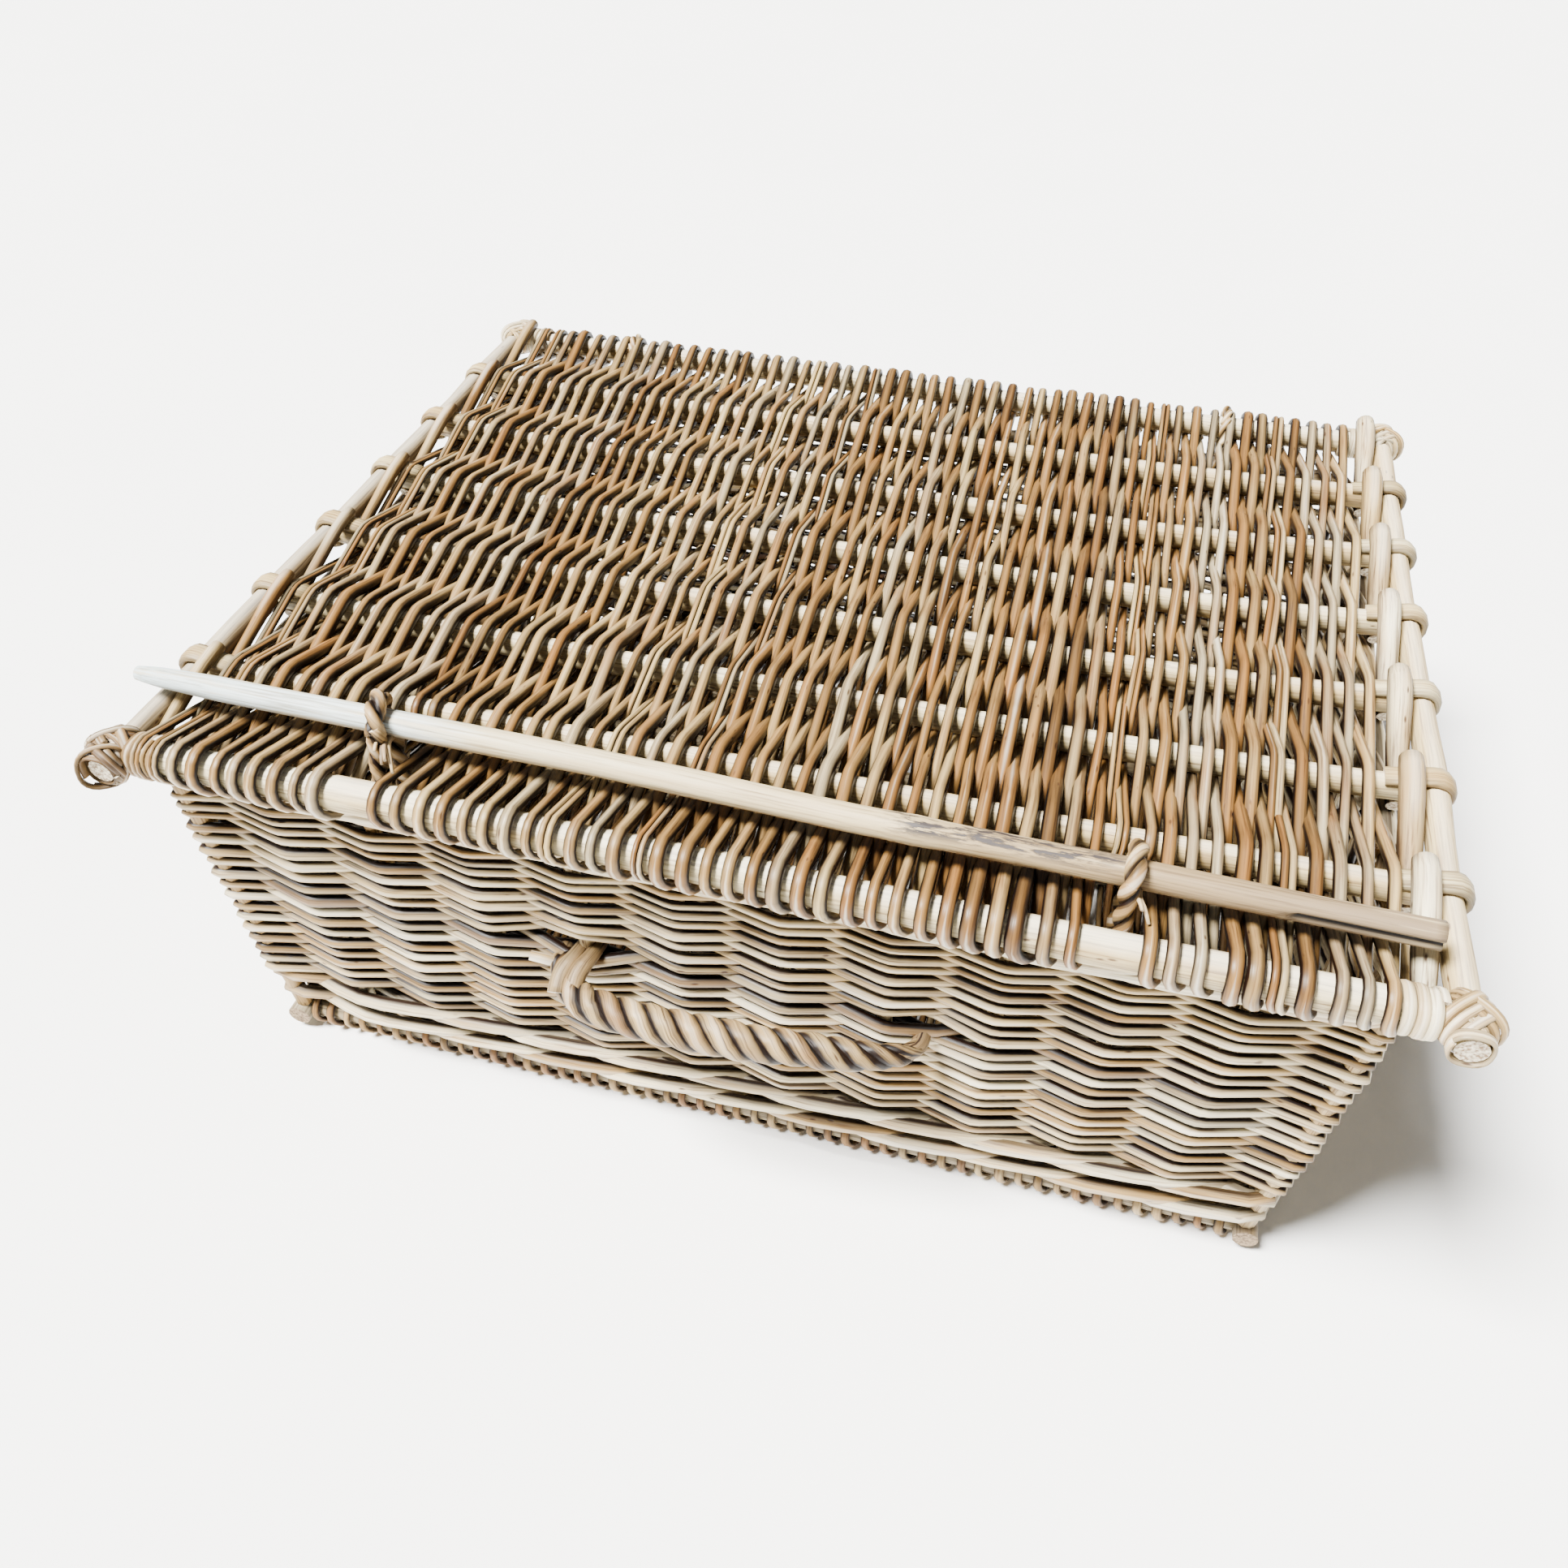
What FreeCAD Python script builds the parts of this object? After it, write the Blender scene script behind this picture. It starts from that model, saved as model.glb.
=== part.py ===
"""Rectangular woven-willow hamper with a hinged lid, a closing rod and a roped front handle.

Millimetres, +Z up, front towards -Y, width along X. The origin is on the floor under the
centre of the lid. Each piece is written to its own STEP file in parts/.
"""
import FreeCAD
import Part
import math
import os

V = FreeCAD.Vector

# ---- overall sizes -----------------------------------------------------------------------
rim_width = 580.0          # outside, at the top of the border
rim_depth = 456.0
flare_side = 10.0          # how far each wall leans out from floor to rim
flare_front = 16.0
lid_overhang = 14.0        # of the lid's side sticks, outside the rim, on average
lid_middle_x = 4.0         # the lid sits a little to the right of the basket
front_stick_forward = 4.0  # of the rim, to the stick's axis
back_stick_behind = 8.0
base_height = 21.0
waling_height = 34.0
wall_height = 151.0
border_height = 14.0

# ---- basket rods -------------------------------------------------------------------------
stake_diameter = 7.5
corner_stake_diameter = 10.0
weaver_diameter = 5.2
waling_rod_diameter = 6.4
waling_proud = 1.5         # how far the waling stands out from the wall above it
front_bays = 11            # spaces between stakes along the front and the back
side_bays = 9
base_stick_diameter = 12.0
base_stick_count = 8
base_side_stick_diameter = 13.0
base_inset = 1.5           # base sticks stay this far inside the waling

# ---- lid rods ----------------------------------------------------------------------------
front_stick_diameter = 16.0
back_stick_diameter = 13.4
cross_stick_diameter = 13.4
cross_stick_count = 6
side_stick_diameter = 13.0
side_stick_front_end = 20.0   # length of the side sticks beyond the front stick's axis
side_stick_back_end = 10.0
lid_weaver_diameter = 4.8
lid_weave_thickness = 24.0
packing_large_diameter = 10.6
packing_small_diameter = 5.6
packing_overrun = 6.0         # length of a packing stick past the sticks it spans
lap_thickness = 3.0           # bark-side tongue of a cross stick, bent round the side stick
lap_width = 13.0
front_binding_radius = 13.0
front_binding_width = 30.0
back_binding_radius = 12.0
back_binding_width = 18.0

# ---- closing rod, loops and handle -------------------------------------------------------
rod_diameter = 12.8
rod_short_of_lid = 19.0         # how much shorter the rod is than the lid is wide
rod_middle_x = -5.5
rod_behind_front_stick = 29.5   # at the rod's middle
rod_skew = 1.07                 # degrees, the right end lies nearer the front
rod_tip_length = 45.0
rod_tip_diameter = 8.0
hasp_stake = 2                  # the loops that hold the rod stand just inside this stake
hasp_rope_diameter = 8.0
hasp_root_inset = 21.0          # from the border's outer face to the middle of the loop's root
hinge_bay = 1                   # the loops at the back stand in the middle of this bay
hinge_rope_diameter = 6.0
hinge_root_inset = 9.0
slot_width = 20.0               # in the lid's weave, for each front loop
hinge_slot_width = 14.0
hinge_slot_depth = 30.0         # in front of the back stick's axis
handle_left_stake = 4           # the handle's left end lies just outside this stake
handle_right_bay = 7            # and its right end in the middle of this bay
handle_height = 134.0           # of the line through its two ends
handle_reach = 33.0             # from that line to the middle of the rope
handle_droop = 4.0              # degrees below level at rest
handle_swing_up = 35.0          # degrees from rest
handle_swing_down = 20.0
handle_rope_diameter = 20.0
handle_core_diameter = 10.0
handle_bend_radius = 14.0
handle_hole_half_width = 7.0

# ---- clearances --------------------------------------------------------------------------
rod_clearance = 0.3        # between moving pieces that lie on each other
loop_clearance = 0.5       # round what a loop holds
loop_hole_clearance = 0.3  # in the weave, round a loop that passes through it
handle_hole_clearance = 0.7 # above and below the handle at the ends of its swing
loop_stake_clearance = 0.4 # between a stake and the hole for a loop or the handle
lid_clearance = 1.2        # from the border to the wraps of the lid's front stick
packing_clearance = 0.4    # round a packing stick
lap_clearance = 0.2        # between a stick's end and the lap or binding beside it

# ---- levels and planes that follow -------------------------------------------------------
base_width = rim_width - 2 * flare_side
base_depth = rim_depth - 2 * flare_front
lid_width = rim_width + 2 * lid_overhang
rod_length = lid_width - rod_short_of_lid
waling_bottom = base_height
wall_bottom = waling_bottom + waling_height
border_bottom = wall_bottom + wall_height
border_top = border_bottom + border_height
wrap_radius = front_stick_diameter / 2 + lid_weaver_diameter
lid_z = border_top + lid_clearance + wrap_radius
lid_top = lid_z + lid_weave_thickness / 2
front_stick_y = -rim_depth / 2 - front_stick_forward
back_stick_y = rim_depth / 2 + back_stick_behind
wall_thickness = stake_diameter + 2 * weaver_diameter
waling_thickness = stake_diameter + 2 * waling_rod_diameter
handle_steepest = math.radians(max(handle_swing_up - handle_droop, handle_swing_down + handle_droop))
handle_hole_half_height = (
    wall_thickness / 2 * math.tan(handle_steepest)
    + handle_core_diameter / 2 / math.cos(handle_steepest) + handle_hole_clearance
)

side_stick_x = lid_width / 2 - side_stick_diameter / 2
lap_radius = side_stick_diameter / 2 + lap_thickness
front_stick_end = side_stick_x - front_binding_radius - lap_clearance
back_stick_end = side_stick_x - back_binding_radius - lap_clearance
cross_stick_end = side_stick_x - lap_radius - lap_clearance
packing_x = front_stick_end - packing_clearance - packing_large_diameter / 2
lid_weave_end = packing_x - packing_large_diameter / 2 - packing_clearance

rod_z = lid_top + rod_clearance + rod_diameter / 2
rod_direction = V(math.cos(math.radians(rod_skew)), -math.sin(math.radians(rod_skew)), 0)
rod_middle = V(rod_middle_x, front_stick_y + rod_behind_front_stick, rod_z)


def outside(z):
    """Half width and half depth of the basket's outer face at a height."""
    share = z / border_top
    return (
        (base_width + (rim_width - base_width) * share) / 2,
        (base_depth + (rim_depth - base_depth) * share) / 2,
    )


def ring_corners(z, proud, depth):
    """Corners of the outer and the inner rectangle of a wall at a height, front left first."""
    half_width, half_depth = outside(z)
    rectangles = []
    for grow in (proud, proud - depth):
        x, y = half_width + grow, half_depth + grow
        rectangles.append([V(-x, -y, z), V(x, -y, z), V(x, y, z), V(-x, y, z)])
    return rectangles


def hexahedron(low, high):
    """Solid between two four-cornered faces whose corners are listed in the same order."""
    faces = [low, high]
    for i in range(4):
        j = (i + 1) % 4
        faces.append([low[i], low[j], high[j], high[i]])
    shell = Part.Shell([Part.Face(Part.makePolygon(face + face[:1])) for face in faces])
    solid = Part.Solid(shell)
    if solid.Volume < 0:
        solid.reverse()
    return solid


def mitred_walls(bottom, top, proud, depth):
    """Four sloping wall solids that meet in mitres: front, right, back and left."""
    outer_low, inner_low = ring_corners(bottom, proud, depth)
    outer_high, inner_high = ring_corners(top, proud, depth)
    walls = []
    for i in range(4):
        j = (i + 1) % 4
        low = [outer_low[i], outer_low[j], inner_low[j], inner_low[i]]
        high = [outer_high[i], outer_high[j], inner_high[j], inner_high[i]]
        walls.append(hexahedron(low, high))
    return walls


def rod(start, end, diameter, end_diameter=None):
    """Round stick between two points, tapered if it has an end diameter."""
    along = end - start
    if end_diameter is None or abs(end_diameter - diameter) < 1e-6:
        return Part.makeCylinder(diameter / 2, along.Length, start, along)
    return Part.makeCone(diameter / 2, end_diameter / 2, along.Length, start, along)


def box(low, high):
    return Part.makeBox(high.x - low.x, high.y - low.y, high.z - low.z, low)


def swept(wire, diameter):
    """Round tube along a wire, starting square to its first edge."""
    first = wire.OrderedEdges[0]
    start = first.valueAt(first.FirstParameter)
    tangent = first.tangentAt(first.FirstParameter)
    circle = Part.Wire([Part.makeCircle(diameter / 2, start, tangent)])
    return wire.makePipeShell([circle], True, False)


def loop_ring(x, low, high, rope_diameter, held_diameter):
    """Closed loop in the plane of one x, round two centres given as (y, z)."""
    bend = held_diameter / 2 + loop_clearance + rope_diameter / 2
    low_point, high_point = V(x, *low), V(x, *high)
    along = (high_point - low_point).normalize()
    side = V(1, 0, 0).cross(along)
    a, b = low_point + side * bend, high_point + side * bend
    c, d = high_point - side * bend, low_point - side * bend
    edges = [
        Part.makeLine(a, b),
        Part.Arc(b, high_point + along * bend, c).toShape(),
        Part.makeLine(c, d),
        Part.Arc(d, low_point - along * bend, a).toShape(),
    ]
    return swept(Part.Wire(edges), rope_diameter)


def cut_all(solid, tools):
    for tool in tools:
        solid = solid.cut(tool)
    return solid


def write(name, *solids):
    """One STEP file for a piece, or for a group of like pieces."""
    flat = []
    for solid in solids:
        flat.extend(solid.Solids)
    shape = flat[0] if len(flat) == 1 else Part.makeCompound(flat)
    shape.exportStep(os.path.join("parts", name + ".step"))
    print(f"{name}: {len(flat)} solids, {shape.Volume / 1000:.1f} cm3, valid {shape.isValid()}")


# ---- basket ------------------------------------------------------------------------------
def stake_line(side, share):
    """Foot and head of a stake: side 0 front, 1 right, 2 back, 3 left; share runs 0 to 1."""
    ends = []
    for z in (waling_bottom, border_bottom):
        half_width, half_depth = outside(z)
        x, y = half_width - wall_thickness / 2, half_depth - wall_thickness / 2
        corners = [V(-x, -y, z), V(x, -y, z), V(x, y, z), V(-x, y, z)]
        first, second = corners[side], corners[(side + 1) % 4]
        ends.append(first + (second - first) * share)
    return ends


def stake_x(number, z):
    """Place of a front or back stake at a height; whole numbers are stakes, halves are bays."""
    foot, head = stake_line(0, number / front_bays)
    return (foot + (head - foot) * ((z - foot.z) / (head.z - foot.z))).x


def stake(side, share, diameter):
    """Leaning stake, cut level at its foot and at its head."""
    foot, head = stake_line(side, share)
    beyond = (head - foot).normalize() * diameter
    reach = V(rim_width, rim_depth, 0)
    level = box(V(0, 0, foot.z) - reach, V(0, 0, head.z) + reach)
    return rod(foot - beyond, head + beyond, diameter).common(level)


def make_stakes():
    stakes = []
    for side in range(4):
        bays = side_bays if side % 2 else front_bays
        stakes.append([stake(side, i / bays, stake_diameter) for i in range(1, bays)])
    corners = [stake(side, 0.0, corner_stake_diameter) for side in range(4)]
    return stakes, corners


hasp_hole_radius = hasp_rope_diameter / 2 + loop_hole_clearance
hasp_x = (-stake_x(hasp_stake, border_bottom) - stake_diameter / 2
          - hasp_hole_radius - loop_stake_clearance)
hinge_x = -stake_x(hinge_bay + 0.5, border_bottom)
handle_left_x = (stake_x(handle_left_stake, handle_height) - stake_diameter / 2
                 - handle_hole_half_width - 2 * loop_stake_clearance)
handle_right_x = stake_x(handle_right_bay + 0.5, handle_height)


def make_loops():
    """Front loops, which hold the closing rod, and back loops, which hold the lid."""
    fronts, backs = [], []
    front_root = (-rim_depth / 2 + hasp_root_inset, border_bottom + border_height / 2 - 1.5)
    back_root = (rim_depth / 2 - hinge_root_inset, border_bottom + border_height / 2 - 4.0)
    for sign in (-1, 1):
        x = sign * hasp_x
        reach = (x - rod_middle.x) / rod_direction.x
        held = (rod_middle + rod_direction * reach).y, rod_z
        fronts.append([
            loop_ring(x, front_root, held, hasp_rope_diameter + grow, rod_diameter - grow)
            for grow in (0, 2 * loop_hole_clearance)
        ])
        x = sign * hinge_x
        held = back_stick_y, lid_z
        backs.append([
            loop_ring(x, back_root, held, hinge_rope_diameter + grow, back_stick_diameter - grow)
            for grow in (0, 2 * loop_hole_clearance)
        ])
    return fronts, backs


def handle_pivot():
    """A point on the line that the handle swings about, in the middle of the front wall."""
    half_depth = outside(handle_height)[1]
    return V(0, -half_depth + wall_thickness / 2, handle_height)


def make_basket(fronts, backs):
    stakes, corners = make_stakes()
    holes = corners + [stake for row in stakes for stake in row]
    loop_holes = [loop[1] for loop in fronts + backs]
    pivot = handle_pivot()
    for x in (handle_left_x, handle_right_x):
        low = V(x - handle_hole_half_width, pivot.y - wall_thickness, pivot.z)
        high = V(x + handle_hole_half_width, pivot.y + wall_thickness, pivot.z)
        rise = V(0, 0, handle_hole_half_height)
        loop_holes.append(box(low - rise, high + rise))

    names = ["front", "right", "back", "left"]
    walings = mitred_walls(waling_bottom, wall_bottom, waling_proud, waling_thickness)
    walls = mitred_walls(wall_bottom, border_bottom, 0.0, wall_thickness)
    borders = mitred_walls(border_bottom, border_top, 0.0, wall_thickness)
    for name, waling, wall, border, row in zip(names, walings, walls, borders, stakes):
        near = [hole for hole in holes if hole.BoundBox.intersect(wall.BoundBox)]
        write("waling_" + name, cut_all(waling, near))
        write("wall_weave_" + name, cut_all(wall, near + loop_holes))
        write("border_" + name, cut_all(border, loop_holes))
        write("stakes_" + name, *row)
    write("corner_stakes", *corners)


def make_base():
    half_width, half_depth = outside(waling_bottom)
    half_width -= base_inset
    half_depth -= base_inset
    side_x = half_width - base_side_stick_diameter / 2
    weave_end = side_x - base_side_stick_diameter / 2
    z = base_height / 2
    edge_y = half_depth - base_height / 2
    pitch = 2 * edge_y / (base_stick_count - 1)
    sticks = []
    for i in range(base_stick_count):
        y = -edge_y + i * pitch
        sticks.append(rod(V(-weave_end, y, z), V(weave_end, y, z), base_stick_diameter))
    slab = box(V(-weave_end, -edge_y, 0), V(weave_end, edge_y, base_height))
    for y in (-edge_y, edge_y):
        slab = slab.fuse(rod(V(-weave_end, y, z), V(weave_end, y, z), base_height))
    write("base_sticks", *sticks)
    write("base_weave", cut_all(slab, sticks))
    write("base_side_sticks", *[
        rod(V(sign * side_x, -half_depth, z), V(sign * side_x, half_depth, z),
            base_side_stick_diameter)
        for sign in (-1, 1)
    ])


# ---- lid ---------------------------------------------------------------------------------
def stick_y(i):
    """Place of the lid's sticks, 0 at the front and cross_stick_count + 1 at the back."""
    return front_stick_y + (back_stick_y - front_stick_y) * i / (cross_stick_count + 1)


def tube(start, end, outer_diameter, inner_diameter):
    return rod(start, end, outer_diameter).cut(rod(start, end, inner_diameter))


def packing_stick(sign, i):
    """Short tapered stick, from on top of lid stick i + 1 to under stick i in front of it."""
    near = front_stick_diameter / 2 if i == 0 else cross_stick_diameter / 2
    far = back_stick_diameter / 2 if i == cross_stick_count else cross_stick_diameter / 2
    thick, thin = packing_large_diameter / 2, packing_small_diameter / 2
    y0, y1 = stick_y(i), stick_y(i + 1)
    slope = math.atan2(near + far + thick + thin + 2 * packing_clearance, y1 - y0)
    rise = (far + thick + packing_clearance) / math.cos(slope)
    drop = (near + thin + packing_clearance) / math.cos(slope)
    x = lid_middle_x + sign * packing_x
    start = V(x, y1, lid_z + rise)
    end = V(x, y0, lid_z - drop)
    along = (end - start).normalize()
    stick = rod(start - along * packing_overrun, end + along * packing_overrun,
                packing_large_diameter, packing_small_diameter)
    # the thick end is cut off slanting, and the thin end stays above the border
    top = lid_z + far + packing_large_diameter
    bottom = border_top + lid_clearance / 2
    keep = box(V(x - 20, y0 - 60, bottom), V(x + 20, y1 + 60, top))
    return stick.common(keep)


def across_lid(half_length, y, diameter):
    """A round stick across the lid."""
    left = V(lid_middle_x - half_length, y, lid_z)
    right = V(lid_middle_x + half_length, y, lid_z)
    return rod(left, right, diameter)


def make_lid():
    front = across_lid(front_stick_end, front_stick_y, front_stick_diameter)
    back = across_lid(back_stick_end, back_stick_y, back_stick_diameter)
    crosses = [across_lid(cross_stick_end, stick_y(i), cross_stick_diameter)
               for i in range(1, cross_stick_count + 1)]
    write("lid_front_stick", front)
    write("lid_back_stick", back)
    write("lid_cross_sticks", *crosses)

    half = V(lid_weave_end, 0, lid_weave_thickness / 2)
    weave = box(V(lid_middle_x, front_stick_y, lid_z) - half, V(lid_middle_x, back_stick_y, lid_z) + half)
    weave = weave.fuse(across_lid(lid_weave_end, front_stick_y, 2 * wrap_radius))
    weave = weave.fuse(across_lid(lid_weave_end, back_stick_y,
                                  back_stick_diameter + 2 * lid_weaver_diameter))
    weave = cut_all(weave, [front, back] + crosses)
    for sign in (-1, 1):
        x, half_slot = sign * hasp_x, slot_width / 2
        weave = weave.cut(box(
            V(x - half_slot, front_stick_y - 2 * wrap_radius, lid_z - wrap_radius - 1),
            V(x + half_slot, stick_y(1), lid_z + wrap_radius + 1)))
        x, half_slot = sign * hinge_x, hinge_slot_width / 2
        weave = weave.cut(box(
            V(x - half_slot, back_stick_y - hinge_slot_depth, lid_z - wrap_radius - 1),
            V(x + half_slot, back_stick_y + 2 * wrap_radius, lid_z + wrap_radius + 1)))
    write("lid_weave", weave)

    for sign, name in ((-1, "left"), (1, "right")):
        x = lid_middle_x + sign * side_stick_x
        write("lid_side_stick_" + name, rod(
            V(x, front_stick_y - side_stick_front_end, lid_z),
            V(x, back_stick_y + side_stick_back_end, lid_z), side_stick_diameter))
        laps = []
        for i in range(1, cross_stick_count + 1):
            middle, reach = V(x, stick_y(i), lid_z), V(0, lap_width / 2, 0)
            laps.append(tube(middle - reach, middle + reach, 2 * lap_radius, side_stick_diameter))
        write("lid_stick_laps_" + name, *laps)
        packing = [packing_stick(sign, i) for i in range(cross_stick_count + 1)]
        write("lid_side_packing_" + name, *packing)
        for place, y, radius, width in (
            ("front", front_stick_y, front_binding_radius, front_binding_width),
            ("back", back_stick_y, back_binding_radius, back_binding_width),
        ):
            middle, reach = V(x, y, lid_z), V(0, width / 2, 0)
            write(f"corner_binding_{place}_{name}",
                  tube(middle - reach, middle + reach, 2 * radius, side_stick_diameter))


# ---- closing rod and handle --------------------------------------------------------------
def make_closing_rod():
    left = rod_middle - rod_direction * (rod_length / 2)
    right = rod_middle + rod_direction * (rod_length / 2)
    shoulder = left + rod_direction * rod_tip_length
    tip = rod(left, shoulder, rod_tip_diameter, rod_diameter)
    write("closing_rod", tip.fuse(rod(shoulder, right, rod_diameter)).removeSplitter())


def handle_wire(first_reach):
    """The bow's middle line, each end starting first_reach out from the pivot line."""
    droop = math.radians(handle_droop)
    out = V(0, -math.cos(droop), -math.sin(droop))
    pivot = handle_pivot()
    bend, reach = handle_bend_radius, handle_reach
    corner = bend * (1 - math.sqrt(0.5))

    def at(x, distance):
        return V(x, 0, 0) + pivot + out * distance

    left, right = handle_left_x, handle_right_x
    edges = [
        Part.Arc(at(left, reach - bend), at(left + corner, reach - corner),
                 at(left + bend, reach)).toShape(),
        Part.makeLine(at(left + bend, reach), at(right - bend, reach)),
        Part.Arc(at(right - bend, reach), at(right - corner, reach - corner),
                 at(right, reach - bend)).toShape(),
    ]
    if first_reach < reach - bend:
        edges.insert(0, Part.makeLine(at(left, first_reach), at(left, reach - bend)))
        edges.append(Part.makeLine(at(right, reach - bend), at(right, first_reach)))
    return Part.Wire(edges)


def make_handle():
    core = swept(handle_wire(0.0), handle_core_diameter)
    rope = swept(handle_wire(handle_reach), handle_rope_diameter)
    write("handle_core", core)
    write("handle_rope", rope.cut(core))


def main():
    os.makedirs("parts", exist_ok=True)
    fronts, backs = make_loops()
    make_base()
    make_basket(fronts, backs)
    make_lid()
    for name, front, back in zip(("left", "right"), fronts, backs):
        write("hasp_loop_" + name, front[0])
        write("hinge_loop_" + name, back[0])
    make_closing_rod()
    make_handle()


main()
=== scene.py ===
"""The looks of a rectangular woven-willow hamper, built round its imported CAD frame.

Every rod of the weave is a tube along its own path: the lid and the base are plain weave
round cross sticks, the walls are randing round stakes between a waling and a border, and
the loops and the handle are twisted strands. Lengths are in metres.
"""
import math

import bpy
import mathutils
import numpy as np
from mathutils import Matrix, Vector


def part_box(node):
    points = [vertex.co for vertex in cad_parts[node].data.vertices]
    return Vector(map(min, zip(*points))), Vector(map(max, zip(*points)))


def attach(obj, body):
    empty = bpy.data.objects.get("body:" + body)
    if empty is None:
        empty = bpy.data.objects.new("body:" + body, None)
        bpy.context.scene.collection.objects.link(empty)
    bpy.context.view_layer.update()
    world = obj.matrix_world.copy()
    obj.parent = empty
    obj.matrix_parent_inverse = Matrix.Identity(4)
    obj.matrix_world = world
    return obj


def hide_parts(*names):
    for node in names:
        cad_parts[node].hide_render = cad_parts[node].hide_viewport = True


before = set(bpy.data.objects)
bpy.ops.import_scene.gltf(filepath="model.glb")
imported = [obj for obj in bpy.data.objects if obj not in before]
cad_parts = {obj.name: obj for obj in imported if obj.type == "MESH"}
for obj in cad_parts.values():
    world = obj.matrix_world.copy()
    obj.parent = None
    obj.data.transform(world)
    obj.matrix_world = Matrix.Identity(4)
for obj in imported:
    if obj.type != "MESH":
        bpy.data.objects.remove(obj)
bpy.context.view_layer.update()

MM = 0.001
X, Y, Z = np.eye(3)
rng = np.random.default_rng(11)


# ---- where the frame puts things ----
def corners(node):
    low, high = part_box(node)
    return np.array(low, float), np.array(high, float)


def middle(node):
    low, high = corners(node)
    return (low + high) / 2


def size(node):
    low, high = corners(node)
    return high - low


FRONT_BAYS, SIDE_BAYS, LID_STICKS, BASE_STICKS = 11, 9, 8, 8
RING = 2 * (FRONT_BAYS + SIDE_BAYS)
SIDE_NAMES = ["front", "right", "back", "left"]
lid_z = middle("lid_back_stick")[2]
lid_front_y = middle("lid_front_stick")[1]
lid_back_y = middle("lid_back_stick")[1]
lid_x = middle("lid_weave")[0]
lid_side_x = middle("lid_side_stick_right")[0] - lid_x
cross_radius = size("lid_cross_sticks")[2] / 2
front_radius = size("lid_front_stick")[2] / 2
back_radius = size("lid_back_stick")[2] / 2
side_radius = size("lid_side_stick_right")[2] / 2
border_low, border_high = corners("border_front")
waling_low, waling_high = corners("waling_front")
wall_bottom, wall_top = waling_high[2], border_low[2]
core_low, core_high = corners("handle_core")
rod_low, rod_high = corners("closing_rod")
rod_radius = size("closing_rod")[2] / 2
rod_left = np.array([rod_low[0], rod_high[1] - rod_radius, middle("closing_rod")[2]])
rod_right = np.array([rod_high[0], rod_low[1] + rod_radius, rod_left[2]])

# ---- the willow's own sizes: radii, spacings and gaps ----
LID_ROD, LID_PITCH, LID_SAG = 2.98 * MM, 5.07 * MM, 9 * MM
LID_WEAVE_INSET_LEFT, LID_WEAVE_INSET_RIGHT = 13.1 * MM, 21.5 * MM  # from the side sticks
HASP_SLOT_HALF, HINGE_SLOT_HALF = 9 * MM, 3.5 * MM
BASE_ROD, BASE_PITCH = 2.35 * MM, 5.2 * MM
STAKE, CORNER_STAKE = 3.75 * MM, 5.0 * MM
WALL_ROD, TOP_ROD, TOP_ROWS, ROW_STEP = 3.05 * MM, 2.35 * MM, 34 * MM, 1.5
WALING_ROD, BORDER_ROD = 3.9 * MM, 3.6 * MM
WALL_HALF = 8.95 * MM  # from the outer face to the middle of a wall
FLARE = np.array([10.0, 16.0]) * MM  # how far the walls lean out, at the ends and at the front
HANDLE_STRAND, HANDLE_TWIST, HANDLE_PITCH = 5.0 * MM, 4.6 * MM, 39 * MM


# ---- rods ----
def unit(v):
    return v / np.maximum(np.linalg.norm(v, axis=-1, keepdims=True), 1e-12)


def tangents(path):
    return unit(np.gradient(path, axis=0))


def round_corners(points, reach):
    """Replaces each inner corner by three points, no further along its legs than reach."""
    points = np.asarray(points, float)
    out = [points[0]]
    for before, at, after in zip(points, points[1:], points[2:]):
        a, b = before - at, after - at
        la, lb = np.linalg.norm(a), np.linalg.norm(b)
        if la < 1e-9 or lb < 1e-9:
            continue
        p = at + a * (min(reach, 0.45 * la) / la)
        q = at + b * (min(reach, 0.45 * lb) / lb)
        out += [p, at * 0.5 + (p + q) * 0.25, q]
    out.append(points[-1])
    return np.array(out)


def divide(points, step):
    """Adds points on legs longer than step."""
    out = [points[0]]
    for a, b in zip(points, points[1:]):
        n = max(1, int(round(np.linalg.norm(b - a) / step)))
        out += [a + (b - a) * i / n for i in range(1, n + 1)]
    return np.array(out)


def wander(n, amount, knots=6):
    """A smooth random curve of n values."""
    count = max(3, knots)
    values = rng.normal(0, amount, count)
    return np.interp(np.linspace(0, count - 1, n), np.arange(count), values)


def carried(path):
    """A direction across the path, carried along it without twisting."""
    t = tangents(path)
    start = X if abs(t[0] @ X) < 0.8 else Z
    side = [unit(start - t[0] * (start @ t[0]))]
    for i in range(1, len(path)):
        side.append(unit(side[-1] - t[i] * (side[-1] @ t[i])))
    return np.array(side)


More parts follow.
